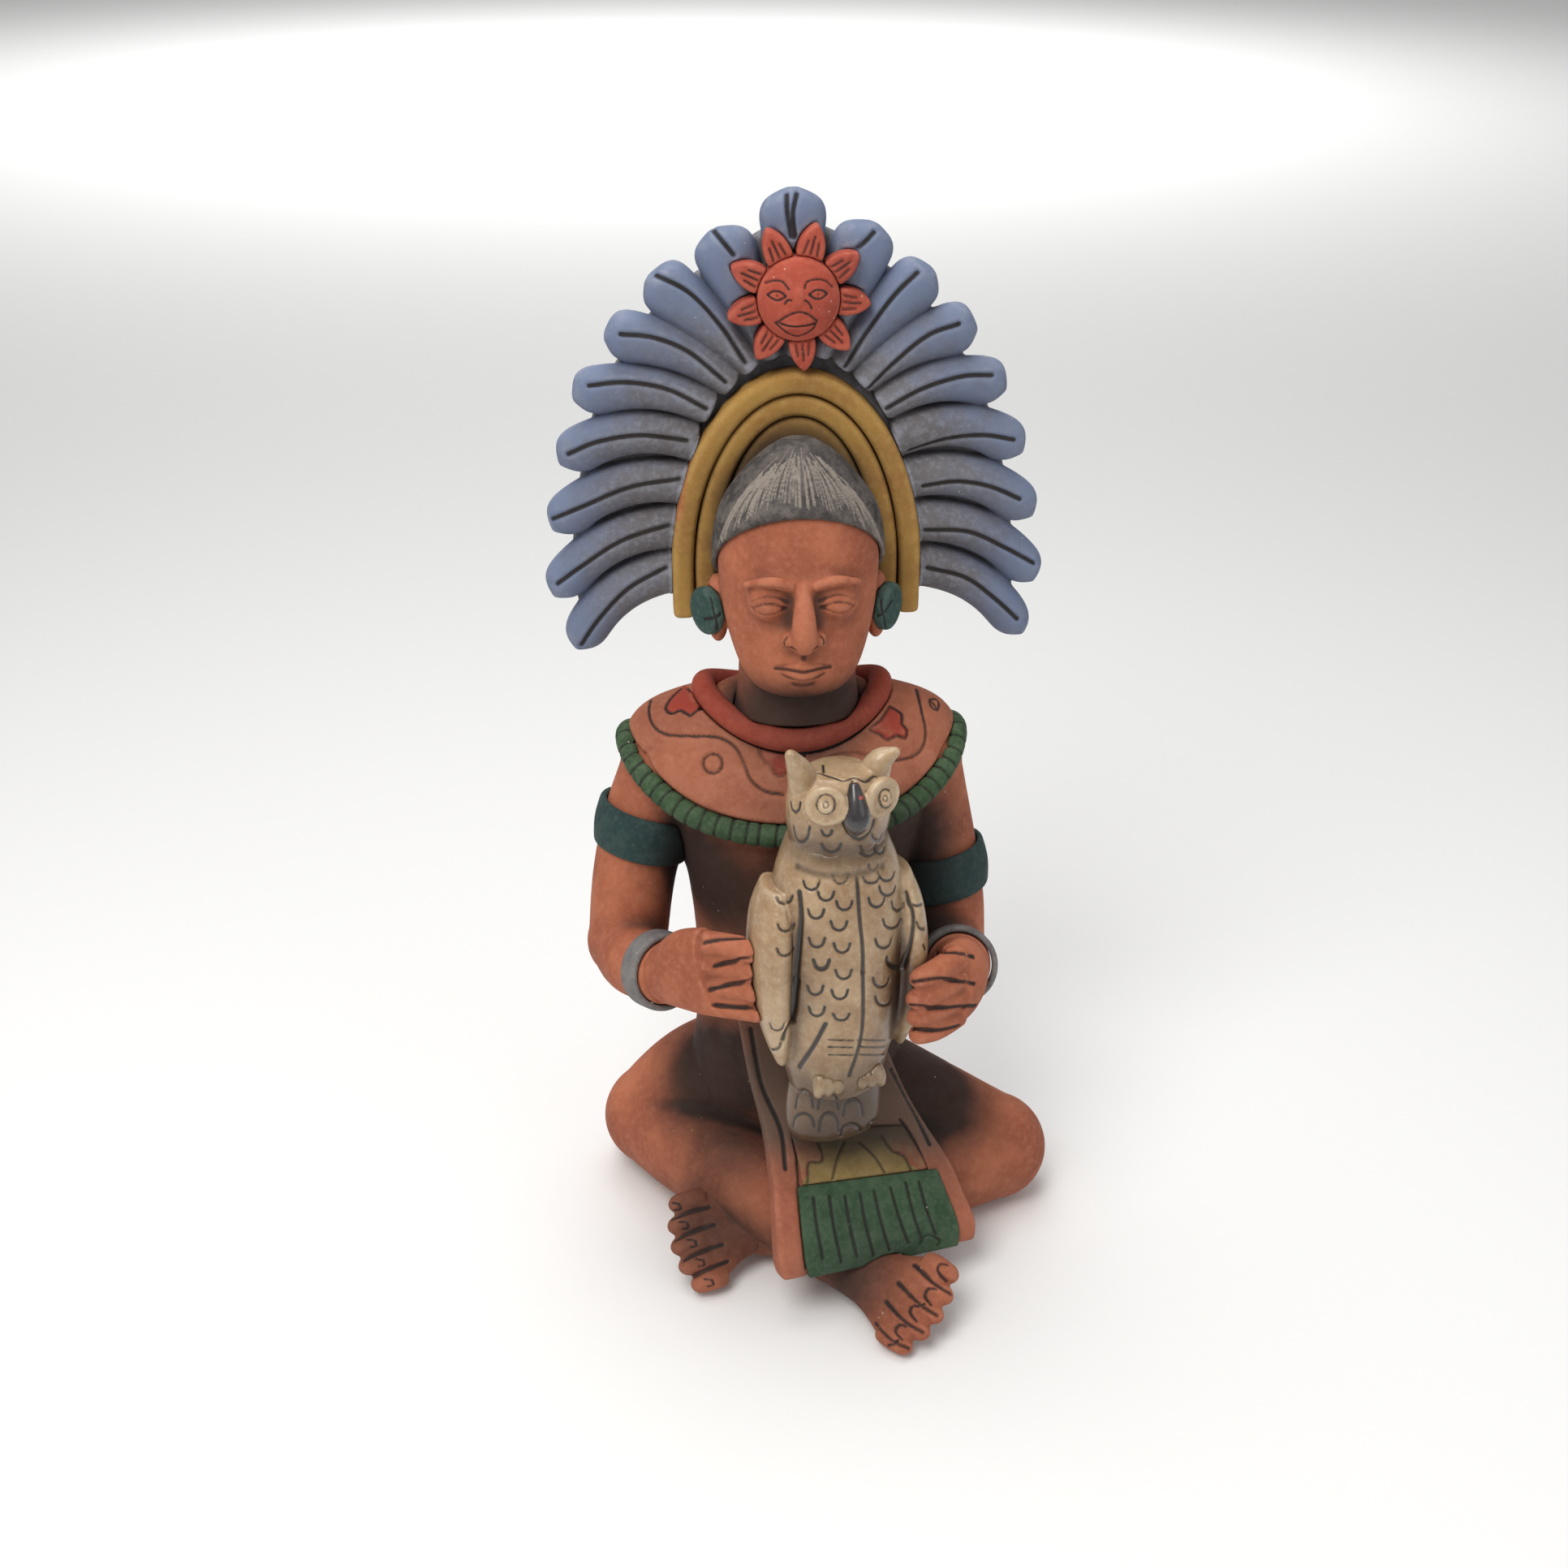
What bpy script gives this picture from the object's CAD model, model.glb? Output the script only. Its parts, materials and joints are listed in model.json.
"""Fired-clay statue of a seated figure holding an owl: the clay's look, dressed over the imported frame.

Each node of the frame is sampled as a distance field, its edges are softened by hand-size amounts, joints
between luted pieces are filled, lines are pressed in, and the field is turned back into a closed mesh.
Lengths are in millimetres while the clay is worked and in metres once it is a mesh.
Lines that the photograph shows are kept as pixel places in named enlargements of it and are cast on to the
frame from the photograph's own camera. The head's face is of its own plain design, on thirds.
"""
import math
import bpy
import numpy as np
import openvdb as vdb
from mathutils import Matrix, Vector
from mathutils.bvhtree import BVHTree
import json


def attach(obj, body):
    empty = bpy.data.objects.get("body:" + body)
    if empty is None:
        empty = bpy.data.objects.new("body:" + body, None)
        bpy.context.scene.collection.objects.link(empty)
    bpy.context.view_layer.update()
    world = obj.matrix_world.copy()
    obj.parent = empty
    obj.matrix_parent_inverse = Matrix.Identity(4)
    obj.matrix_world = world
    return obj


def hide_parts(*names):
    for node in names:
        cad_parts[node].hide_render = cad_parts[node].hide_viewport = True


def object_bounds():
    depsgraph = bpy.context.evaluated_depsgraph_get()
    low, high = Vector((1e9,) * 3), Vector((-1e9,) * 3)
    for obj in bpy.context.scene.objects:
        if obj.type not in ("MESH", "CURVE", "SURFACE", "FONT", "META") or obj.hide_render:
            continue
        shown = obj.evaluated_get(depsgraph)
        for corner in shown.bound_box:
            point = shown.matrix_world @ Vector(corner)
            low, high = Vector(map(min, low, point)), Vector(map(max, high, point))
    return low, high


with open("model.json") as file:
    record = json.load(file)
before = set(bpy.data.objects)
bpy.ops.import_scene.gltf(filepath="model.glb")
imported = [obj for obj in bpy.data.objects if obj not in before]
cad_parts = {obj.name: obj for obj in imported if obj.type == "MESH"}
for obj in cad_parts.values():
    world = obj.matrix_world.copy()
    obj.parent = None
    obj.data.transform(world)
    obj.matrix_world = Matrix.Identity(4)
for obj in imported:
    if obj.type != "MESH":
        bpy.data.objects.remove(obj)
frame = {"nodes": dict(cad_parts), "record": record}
cad_low, cad_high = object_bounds()

# Units and working values, in millimetres; BAND is how far the distance fields reach from a surface
MM = 1000.0
BAND = 3.0
MARGIN = 5.0
STEP = 0.8
COARSE = 1.0
INK_SLOPE = 2.3
INK_START = 0.35
RANDOM = np.random.default_rng(7)

# The photograph's camera, in millimetres in the frame
PHOTO_SIDE = 1932.0
PHOTO_FOCAL = 2335.0
SENSOR = 36.0
EYE = Vector((-55.04, -597.66, 510.0))
AIM = Vector((-13.19, 0.88, 203.0))

# Enlargements of the photograph: left edge, top edge, zoom
WHOLE = (0.0, 0.0, 1.0)
COLLAR_VIEW = (740.0, 800.0, 3.336)
OWL_VIEW = (900.0, 900.0, 5.227)
TAIL_VIEW = (900.0, 1150.0, 5.227)
HEM_VIEW = (890.0, 1380.0, 4.612)

SKIN = ["torso", "neck", "head", "right_ear", "left_ear", "right_arm", "left_arm", "right_hand", "left_hand",
        "right_leg", "left_leg", "right_foot", "left_foot"]
OWL = ["owl_body", "owl_head", "owl_ears", "owl_right_wing", "owl_left_wing", "owl_tail", "owl_feet"]
FEATHERS = ["feather_crest"] + [f"feather_{side}_{n}" for side in ("right", "left") for n in range(1, 9)]


# Distance fields

def triangles_of(node):
    """Corners in millimetres and triangles of a CAD node."""
    mesh = frame["nodes"][node].data
    mesh.calc_loop_triangles()
    corners = np.empty(len(mesh.vertices) * 3, np.float32)
    mesh.vertices.foreach_get("co", corners)
    faces = np.empty(len(mesh.loop_triangles) * 3, np.int32)
    mesh.loop_triangles.foreach_get("vertices", faces)
    return corners.reshape(-1, 3) * MM, faces.reshape(-1, 3)


MESHES = {node: triangles_of(node) for node in frame["nodes"]}
BOXES = {node: (corners.min(0).astype(float), corners.max(0).astype(float))
         for node, (corners, faces) in MESHES.items()}
LEVEL_SETS = {}
TREES = {}


def distances(node, voxel, first, shape, band):
    """The node's distances sampled in a box of voxels. Its grid is kept for the neighbours."""
    key = (node, voxel)
    if key not in LEVEL_SETS:
        corners, faces = MESHES[node]
        no_quads = np.zeros((0, 4), np.int32)
        LEVEL_SETS[key] = vdb.FloatGrid.createLevelSetFromPolygons(
            corners, faces, no_quads, vdb.createLinearTransform(voxel), band)
    values = np.zeros(shape, np.float32)
    LEVEL_SETS[key].copyToArray(values, ijk=tuple(int(i) for i in first))
    return values


def tree(node):
    """The node's triangles as a tree for casting rays."""
    if node not in TREES:
        corners, faces = MESHES[node]
        TREES[node] = BVHTree.FromPolygons(corners.tolist(), faces.tolist())
    return TREES[node]


def blur(values, sigma):
    """Gaussian blur of a sampled box, sigma in voxels."""
    reach = max(1, int(math.ceil(sigma * 2.5)))
    weights = np.exp(-0.5 * (np.arange(-reach, reach + 1) / sigma) ** 2)
    weights = (weights / weights.sum()).astype(np.float32)
    for axis in range(3):
        pads = [(0, 0)] * 3
        pads[axis] = (reach, reach)
        padded = np.pad(values, pads, mode="edge")
        count = values.shape[axis]
        values = np.zeros_like(values)
        for step, weight in enumerate(weights):
            values += weight * padded.take(range(step, step + count), axis=axis)
    return values


def read_at(values, first, voxel, points):
    """Values of a sampled box at points, between samples."""
    place = points / voxel - first
    corner = np.clip(np.floor(place).astype(int), 0, np.array(values.shape) - 2)
    share = np.clip(place - corner, 0, 1)
    total = np.zeros(len(points))
    for x in (0, 1):
        for y in (0, 1):
            for z in (0, 1):
                weight = (np.abs(1 - x - share[:, 0]) * np.abs(1 - y - share[:, 1])
                          * np.abs(1 - z - share[:, 2]))
                total += weight * values[corner[:, 0] + x, corner[:, 1] + y, corner[:, 2] + z]
    return total


class Waves:
    """Soft hand-made unevenness from a few random waves."""

    def __init__(self, length, count=10):
        turn = RANDOM.normal(size=(count, 3))
        turn /= np.linalg.norm(turn, axis=1)[:, None]
        stretch = RANDOM.uniform(0.7, 1.5, count)
        self.turns = turn * (2 * math.pi / length) * stretch[:, None]
        self.starts = RANDOM.uniform(0, 2 * math.pi, count)

    def at(self, x, y, z):
        total = 0
        for turn, start in zip(self.turns, self.starts):
            total = total + np.sin(x * turn[0] + y * turn[1] + z * turn[2] + start)
        return total / len(self.starts)


UNEVEN = Waves(26.0)
DENTS = Waves(7.0)


class Clay:
    """One piece of clay as a sampled distance field: negative inside."""

    def __init__(self, node, voxel):
        self.node = node
        self.voxel = round(voxel * COARSE, 3)
        low, high = BOXES[node]
        self.first = np.floor((low - MARGIN) / self.voxel).astype(int)
        self.shape = tuple(np.ceil((high + MARGIN) / self.voxel).astype(int) - self.first + 1)
        self.field = self.sample(node)
        self.ink = np.zeros(self.shape, np.float32)

    def sample(self, node):
        return distances(node, self.voxel, self.first, self.shape, BAND / self.voxel)

    def near(self, others):
        """The nodes whose boxes reach this piece's."""
        low = self.first * self.voxel
        high = low + np.array(self.shape) * self.voxel
        found = []
        for other in others:
            if other == self.node:
                continue
            other_low, other_high = BOXES[other]
            if np.all(other_low < high) and np.all(other_high > low):
                found.append(other)
        return found

    def grid(self, box=None):
        """Open coordinate arrays of the box, or of a part of it."""
        spans = box or [slice(0, n) for n in self.shape]
        arrays = [(np.arange(s.start, s.stop) + f) * self.voxel for s, f in zip(spans, self.first)]
        return np.meshgrid(*arrays, indexing="ij", sparse=True)

    def lute(self, group, sigma, lap=1.2, sink=0.35):
        """Fills the joints to the group's other pieces and keeps this piece's side of them."""
        neighbours = self.near(group)
        own = self.field
        if not neighbours:
            self.soften(sigma * 0.6)
            return
        rest = self.sample(neighbours[0])
        for other in neighbours[1:]:
            rest = np.minimum(rest, self.sample(other))
        whole = np.minimum(own, rest)
        filled = np.minimum(blur(whole, 0.5 / self.voxel), blur(whole, sigma / self.voxel))
        away = own - rest
        self.field = np.maximum(filled + sink * np.clip(away, 0, lap), away / 2 - lap / 2)

    def soften(self, sigma):
        """Rounds the edges."""
        self.field = blur(self.field, sigma / self.voxel)

    def wobble(self, amount, waves=None):
        """Takes off a little clay unevenly, never adding any."""
        x, y, z = self.grid()
        self.field = self.field + np.float32(amount) * (1 + (waves or UNEVEN).at(x, y, z)).astype(np.float32)

    def part_near(self, points, reach):
        """The part of the box within reach of the points."""
        low = np.floor((points.min(0) - reach) / self.voxel).astype(int) - self.first
        high = np.ceil((points.max(0) + reach) / self.voxel).astype(int) - self.first + 1
        low = np.clip(low, 0, self.shape)
        high = np.clip(high, 0, self.shape)
        if np.any(high - low < 1):
            return None
        return [slice(int(a), int(b)) for a, b in zip(low, high)]

    def settled(self, points):
        """Points moved on to the worked surface, by no more than a small step each time."""
        for _ in range(4):
            gap = read_at(self.field, self.first, self.voxel, points)
            slope = np.empty_like(points)
            for axis in range(3):
                step = np.zeros(3)
                step[axis] = self.voxel
                slope[:, axis] = (read_at(self.field, self.first, self.voxel, points + step)
                                  - read_at(self.field, self.first, self.voxel, points - step))
            size = np.linalg.norm(slope, axis=1)
            slope = slope / np.maximum(size, 1e-6)[:, None]
            points = points - slope * (np.clip(gap, -STEP, STEP) * (size > self.voxel * 0.4))[:, None]
        return points

    def press(self, points, width, depth, ink=1.0):
        """Presses a line along the points. Width is its half width; a depth below zero raises it."""
        points = np.array(points, float).reshape(-1, 3)
        if not len(points):
            return
        points = self.settled(points)
        reach = max(width, self.voxel * 1.2)
        part = self.part_near(points, reach)
        if part is None:
            return
        x, y, z = self.grid(part)
        nearest = np.full([s.stop - s.start for s in part], 1e9)
        ends = points[1:] if len(points) > 1 else points
        for start, end in zip(points, ends):
            along = end - start
            length = max(float(along @ along), 1e-9)
            dx, dy, dz = x - start[0], y - start[1], z - start[2]
            share = np.clip((dx * along[0] + dy * along[1] + dz * along[2]) / length, 0, 1)
            gap = (dx - share * along[0]) ** 2 + (dy - share * along[1]) ** 2 + (dz - share * along[2]) ** 2
            nearest = np.minimum(nearest, gap)
        shape = np.clip(1 - np.sqrt(nearest) / reach, 0, 1)
        shape = shape * shape * (3 - 2 * shape)
        spot = tuple(part)
        self.field[spot] += (depth * shape).astype(np.float32)
        if ink:
            self.ink[spot] = np.maximum(self.ink[spot], ink * np.clip(shape * INK_SLOPE - INK_START, 0, 1))

    def press_all(self, view, lines, width, depth, nodes=None):
        """Presses an enlargement's lines into the clay."""
        for line in lines:
            self.press(cast(view, line, nodes or [self.node]), width, depth)


# Lines from the photograph

forward = (AIM - EYE).normalized()
rightward = forward.cross(Vector((0, 0, 1))).normalized()
upward = rightward.cross(forward)


def rounded(points, step):
    """A smooth run through flat points, with a sample about every step."""
    points = [np.array(p, float) for p in points]
    if len(points) < 3:
        count = max(2, int(np.linalg.norm(points[-1] - points[0]) / step) + 1)
        return [points[0] + (points[-1] - points[0]) * t for t in np.linspace(0, 1, count)]
    run = [2 * points[0] - points[1]] + points + [2 * points[-1] - points[-2]]
    out = [points[0]]
    for a, b, c, d in zip(run, run[1:], run[2:], run[3:]):
        count = max(1, int(round(np.linalg.norm(c - b) / step)))
        for t in np.arange(1, count + 1) / count:
            out.append(0.5 * (2 * b + (c - a) * t + (2 * a - 5 * b + 4 * c - d) * t * t
                              + (3 * b - a - 3 * c + d) * t ** 3))
    return out


def cast(view, points, nodes):
    """Places in an enlargement of the photograph, cast on to the nodes: points in millimetres."""
    left, top, zoom = view
    found = []
    for x, y in rounded(points, 5.0 * zoom):
        across = (left + x / zoom - PHOTO_SIDE / 2) / PHOTO_FOCAL
        down = (top + y / zoom - PHOTO_SIDE / 2) / PHOTO_FOCAL
        ray = (forward + rightward * across - upward * down).normalized()
        hits = [tree(node).ray_cast(EYE, ray) for node in nodes]
        hits = [hit for hit in hits if hit[0] is not None]
        if hits:
            found.append(tuple(min(hits, key=lambda hit: hit[3])[0]))
    return found


def face_on(node, points, step=2.0):
    """Places given across and up in millimetres, cast on to the node's front."""
    front = BOXES[node][0][1] - MARGIN
    found = []
    for x, z in rounded(points, step):
        hit = tree(node).ray_cast(Vector((x, front, z)), Vector((0, 1, 0)))
        if hit[0] is not None:
            found.append(tuple(hit[0]))
    return found


def pixel_of(points):
    """Where points in millimetres lie in the photograph."""
    away = points - np.array(EYE)
    depth = away @ np.array(forward)
    u = PHOTO_SIDE / 2 + PHOTO_FOCAL * (away @ np.array(rightward)) / depth
    v = PHOTO_SIDE / 2 - PHOTO_FOCAL * (away @ np.array(upward)) / depth
    return u, v


def inside(u, v, outline):
    """Whether places lie in an outline, counted by crossings."""
    found = np.zeros(len(u), bool)
    for (x0, y0), (x1, y1) in zip(outline, outline[1:] + outline[:1]):
        if y0 == y1:
            continue
        crosses = ((y0 > v) != (y1 > v)) & (u < (x1 - x0) * (v - y0) / (y1 - y0) + x0)
        found ^= crosses
    return found


def oval(x, y, across, high, count):
    """Places round an oval."""
    return [(x + across * math.cos(t), y + high * math.sin(t)) for t in np.linspace(0, 2 * math.pi, count)]


def arc(x, y, half, rise, turn):
    """A curved mark about its lowest place, turning at a share of its half width."""
    bend, lift = half * turn, rise * 0.3
    return [(x - half, y - rise), (x - bend, y - lift), (x, y), (x + bend, y - lift), (x + half, y - rise)]


def photo_outline(view, points):
    """An enlargement's outline as places of the whole photograph."""
    left, top, zoom = view
    return [(left + p[0] / zoom, top + p[1] / zoom) for p in rounded(points + points[:1], 2.0 * zoom)]


# Feathers

RIBS = dict(zip(FEATHERS, [
    [[(969, 239), (970, 262), (975, 292)], [(982, 238), (977, 262), (977, 292)]],
    [[(878, 282), (890, 297), (904, 314)]],
    [[(807, 338), (852, 362), (891, 404), (918, 447)]],
    [[(764, 412), (806, 416), (850, 434), (894, 471)]],
    [[(725, 475), (772, 471), (824, 480), (870, 504)]],
    [[(699, 560), (736, 545), (788, 537), (846, 543)]],
    [[(679, 640), (720, 624), (776, 601), (837, 590)]],
    [[(686, 720), (716, 699), (766, 667), (824, 647)]],
    [[(716, 796), (738, 764), (774, 726), (820, 699)]],
    [[(1078, 285), (1067, 297), (1056, 306)]],
    [[(1131, 335), (1100, 366), (1066, 412), (1041, 454)]],
    [[(1182, 399), (1144, 413), (1104, 446), (1069, 482)]],
    [[(1223, 462), (1184, 464), (1136, 480), (1093, 504)]],
    [[(1250, 542), (1212, 537), (1166, 542), (1121, 556)]],
    [[(1257, 615), (1220, 600), (1180, 594), (1138, 600)]],
    [[(1275, 694), (1240, 676), (1194, 656), (1140, 654)]],
    [[(1254, 763), (1226, 738), (1190, 712), (1143, 700)]],
]))
RIB_WIDTH = 1.6
RIB_DEPTH = 1.3


def make_feather(node):
    clay = Clay(node, 0.5)
    clay.lute(FEATHERS + ["outer_arch", "headdress_plate"], 0.9, 0.8)
    clay.wobble(0.1)
    clay.press_all(WHOLE, RIBS[node], RIB_WIDTH, RIB_DEPTH)
    return clay


# The sun, a traditional ornament drawn from its disc's middle, in shares of its radius

SUN_LINES = [
    ([(-0.82, 0.43), (-0.63, 0.50), (-0.42, 0.49), (-0.26, 0.31)], 1.0),
    ([(0.12, 0.35), (0.17, 0.48), (0.38, 0.53), (0.63, 0.48), (0.80, 0.32)], 1.2),
    ([(-0.77, 0.17), (-0.66, 0.25), (-0.55, 0.27), (-0.43, 0.24), (-0.34, 0.16)], 0.6),
    ([(-0.77, 0.17), (-0.66, 0.09), (-0.55, 0.06), (-0.43, 0.09), (-0.34, 0.16)], 0.6),
    ([(0.23, 0.19), (0.33, 0.27), (0.45, 0.29), (0.57, 0.26), (0.66, 0.19)], 0.6),
    ([(0.23, 0.19), (0.33, 0.11), (0.45, 0.08), (0.57, 0.11), (0.66, 0.19)], 0.6),
    ([(-0.36, -0.02), (-0.29, 0.07), (-0.20, 0.06)], 0.8),
    ([(0.13, 0.06), (0.23, -0.02), (0.28, -0.14)], 0.8),
    ([(-0.57, -0.51), (-0.29, -0.31), (-0.03, -0.22), (0.20, -0.28), (0.41, -0.45)], 1.0),
    ([(0.41, -0.45), (0.36, -0.62), (0.17, -0.78), (-0.02, -0.85), (-0.23, -0.80), (-0.42, -0.66),
      (-0.57, -0.51)], 1.0),
    ([(-0.47, -0.51), (-0.11, -0.57), (0.37, -0.52)], 0.8),
    ([(-0.55, 0.16), (-0.54, 0.17)], 0.9),
    ([(0.45, 0.18), (0.46, 0.19)], 0.9),
]
SUN_LINE = 0.75
SUN_NOSE = [(-0.02, 0.25), (-0.03, 0.02)]
SUN_LIPS = [(-0.3, -0.55), (0.2, -0.55)]
SUN_RAYS = 9
SUN_LEAN = 25.0
SUN_RAY_FAN = 9.0
RAY_FROM = 1.06
RAY_TO = {-1: 1.38, 0: 1.5, 1: 1.38}


def sun_middle():
    low, high = BOXES["sun_disc"]
    return (low[0] + high[0]) / 2, (low[2] + high[2]) / 2, (high[0] - low[0]) / 2


def make_sun_disc(node):
    clay = make_plain(node)
    x, z, radius = sun_middle()

    def line(points, width, depth, ink=1.0):
        places = [(x + radius * a, z + radius * b) for a, b in points]
        clay.press(face_on(node, places, 0.8), width, depth, ink)

    for points, strength in SUN_LINES:
        line(points, SUN_LINE, SUN_LINE * strength)
    line(SUN_NOSE, 2.6, -0.7, 0)
    line(SUN_LIPS, 3.2, -0.5, 0)
    return clay


def make_sun_rays(node):
    clay = make_plain(node)
    x, z, radius = sun_middle()
    for ray in range(SUN_RAYS):
        middle = math.radians(90 + SUN_LEAN + 360 / SUN_RAYS * ray)
        for side in (-1, 0, 1):
            angle = middle + side * math.radians(SUN_RAY_FAN)
            ends = ((angle, radius * RAY_FROM), (angle * 0.6 + middle * 0.4, radius * RAY_TO[side]))
            points = [(x + math.cos(a) * r, z + math.sin(a) * r) for a, r in ends]
            clay.press(face_on(node, points, 1.0), 0.8, 0.8)
    return clay


# Collar

WAVE_LINES = [
    [(215, 170), (195, 250), (215, 315), (270, 350), (380, 357), (480, 362), (550, 400), (590, 470),
     (620, 540), (680, 585), (750, 597)],
    [(935, 450), (985, 435), (1050, 430), (1130, 445), (1230, 455), (1310, 425), (1340, 350),
     (1320, 240), (1300, 160)],
    [(830, 405), (832, 440)],
    [(1355, 205), (1362, 232), (1385, 246), (1396, 222), (1380, 200), (1355, 205)],
    [(1368, 215), (1384, 236)],
]
CIRCLE_MIDDLE = (460, 470)
CIRCLE_RADIUS = 40
MOTIFS = [
    [(345, 145), (290, 195), (265, 240), (290, 262), (330, 248), (365, 270), (400, 245), (432, 240),
     (395, 190)],
    [(660, 395), (655, 430), (680, 465), (704, 480), (716, 510), (742, 520), (772, 506), (786, 476),
     (810, 460), (826, 428), (818, 400), (740, 398)],
    [(1190, 230), (1240, 265), (1240, 305), (1262, 330), (1255, 365), (1220, 355), (1180, 372), (1150, 350),
     (1105, 325), (1150, 290)],
]
COLLAR_LINE = 1.2
BEAD_LENGTH = 5.4
BEAD_RADIUS = 4.1
BEAD_DRIFT = 0.12


def make_collar(node):
    clay = make_plain(node)
    circle = oval(*CIRCLE_MIDDLE, CIRCLE_RADIUS, CIRCLE_RADIUS, 13)
    motifs = [motif + motif[:1] for motif in MOTIFS]
    clay.press_all(COLLAR_VIEW, WAVE_LINES + [circle] + motifs, COLLAR_LINE, COLLAR_LINE)
    return clay


def loop_of(node, count=90):
    """The middle line of a ring-shaped node, by the angle about its own middle."""
    corners = MESHES[node][0]
    middle = (corners.min(0) + corners.max(0)) / 2
    angles = np.arctan2(corners[:, 1] - middle[1], corners[:, 0] - middle[0])
    bins = ((angles + math.pi) / (2 * math.pi) * count).astype(int) % count
    line = []
    for place in range(count):
        part = corners[bins == place]
        if len(part):
            line.append((part.min(0) + part.max(0)) / 2)
    return np.array(line)


def make_collar_rim(node):
    """The rim of pressed beads: a groove round it at every bead's end."""
    clay = make_plain(node)
    line = loop_of(node)
    closed = np.vstack([line, line[:1]])
    steps = np.linalg.norm(np.diff(closed, axis=0), axis=1)
    far = np.concatenate([[0], np.cumsum(steps)])

    def on_line(place):
        return np.array([np.interp(place % far[-1], far, closed[:, a]) for a in range(3)])

    beads = int(round(far[-1] / BEAD_LENGTH))
    for bead in range(beads):
        place = (bead + RANDOM.uniform(-BEAD_DRIFT, BEAD_DRIFT)) * far[-1] / beads
        here, ahead = on_line(place), on_line(place + 1.5)
        along = (ahead - here) / np.linalg.norm(ahead - here)
        side = np.cross(along, (0, 0, 1))
        side /= np.linalg.norm(side)
        over = np.cross(side, along)
        turn = [here + BEAD_RADIUS * (math.cos(t) * side + math.sin(t) * over)
                for t in np.linspace(0, 2 * math.pi, 17)]
        clay.press(turn, 0.85, 0.9)
    return clay


# Hands and feet

HAND_LINES = {
    "right_hand": [[(863, 1163), (892, 1156), (922, 1154)], [(880, 1191), (911, 1183), (942, 1181)],
                   [(876, 1220), (912, 1211), (951, 1209)], [(880, 1239), (914, 1242), (947, 1239)]],
    "left_hand": [[(1147, 1175), (1174, 1172), (1201, 1179)], [(1121, 1211), (1162, 1207), (1202, 1213)],
                  [(1118, 1240), (1160, 1242), (1204, 1240)], [(1118, 1266), (1154, 1270), (1193, 1263)]],
}
RIGHT_TOE_LINES = [[(1090, 820), (1200, 920), (1310, 990)], [(1000, 925), (1120, 1045), (1225, 1115)],
                   [(930, 1035), (1040, 1150), (1145, 1210)], [(865, 1160), (960, 1255), (1070, 1305)]]
RIGHT_NAILS = [[(1280, 820), (1240, 815), (1220, 850), (1245, 890), (1275, 915)],
               [(1215, 960), (1170, 960), (1150, 1000), (1190, 1050)],
               [(1140, 1055), (1090, 1050), (1065, 1090), (1105, 1140)],
               [(1045, 1165), (1005, 1165), (985, 1200), (1025, 1245)],
               [(990, 1270), (955, 1275), (932, 1310), (975, 1350)]]
LEFT_TOE_LINES = [[(874, 1487), (848, 1494), (822, 1503)], [(880, 1509), (856, 1517), (830, 1528)],
                  [(890, 1534), (866, 1542), (841, 1553)], [(897, 1555), (874, 1563), (851, 1574)]]
LEFT_NAIL_PLACES = [(833, 1488), (843, 1511), (853, 1533), (863, 1557), (874, 1582)]
NAIL_HALF = 6.0
NAIL_SHAPE = [(-1, -1), (0.7, -0.7), (1, 0.4), (-0.3, 0.7)]
HAND_VOXEL = 0.48


def make_skin(node, voxel):
    clay = Clay(node, voxel)
    clay.lute(SKIN, 1.7)
    clay.wobble(0.14)
    clay.wobble(0.05, DENTS)
    return clay


def make_hand(node):
    clay = make_skin(node, HAND_VOXEL)
    clay.press_all(WHOLE, HAND_LINES[node], 1.5, 1.5)
    return clay


def make_right_foot(node):
    clay = make_skin(node, HAND_VOXEL)
    clay.press_all(HEM_VIEW, RIGHT_TOE_LINES, 1.5, 1.7)
    clay.press_all(HEM_VIEW, RIGHT_NAILS, 1.0, 0.9)
    return clay


def make_left_foot(node):
    clay = make_skin(node, HAND_VOXEL)
    clay.press_all(WHOLE, LEFT_TOE_LINES, 1.4, 1.5)
    nails = [[(x + NAIL_HALF * a, y + NAIL_HALF * b) for a, b in NAIL_SHAPE] for x, y in LEFT_NAIL_PLACES]
    clay.press_all(WHOLE, nails, 0.9, 0.8)
    return clay


# The head's own plain face, on thirds: places are shares of the half width and of the height chin to hairline

FACE_SHARE = 0.773
EYE_SIDE = 0.42
EYE_HEIGHT = 0.56
FACE_PAIRS = [
    ([(-0.20, -0.012), (-0.10, 0.018), (0.01, 0.028), (0.12, 0.016), (0.21, -0.010)], 0.9, 1.0),
    ([(-0.20, -0.012), (-0.09, -0.032), (0.02, -0.040), (0.13, -0.032), (0.21, -0.010)], 0.8, 0.7),
    ([(-0.22, 0.020), (-0.11, 0.052), (0.01, 0.064), (0.13, 0.052), (0.23, 0.022)], 0.9, 0.6),
    ([(-0.24, 0.088), (-0.12, 0.110), (0.05, 0.116), (0.22, 0.090)], 1.1, 0.4),
]
WING_LINE = [(0.21, 0.415), (0.255, 0.39), (0.25, 0.355), (0.20, 0.34)]
MOUTH_LINE = [(-0.35, 0.206), (-0.2, 0.209), (-0.07, 0.206), (0, 0.202), (0.07, 0.206), (0.2, 0.209),
              (0.35, 0.206)]
UPPER_LIP = [(-0.34, 0.212), (-0.2, 0.238), (-0.06, 0.258), (0, 0.250), (0.06, 0.258), (0.2, 0.238),
             (0.34, 0.212)]
LOWER_LIP = [(-0.27, 0.178), (-0.13, 0.156), (0, 0.150), (0.13, 0.156), (0.27, 0.178)]
CHIN_LINE = [(-0.12, 0.118), (0, 0.108), (0.12, 0.118)]
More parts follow.
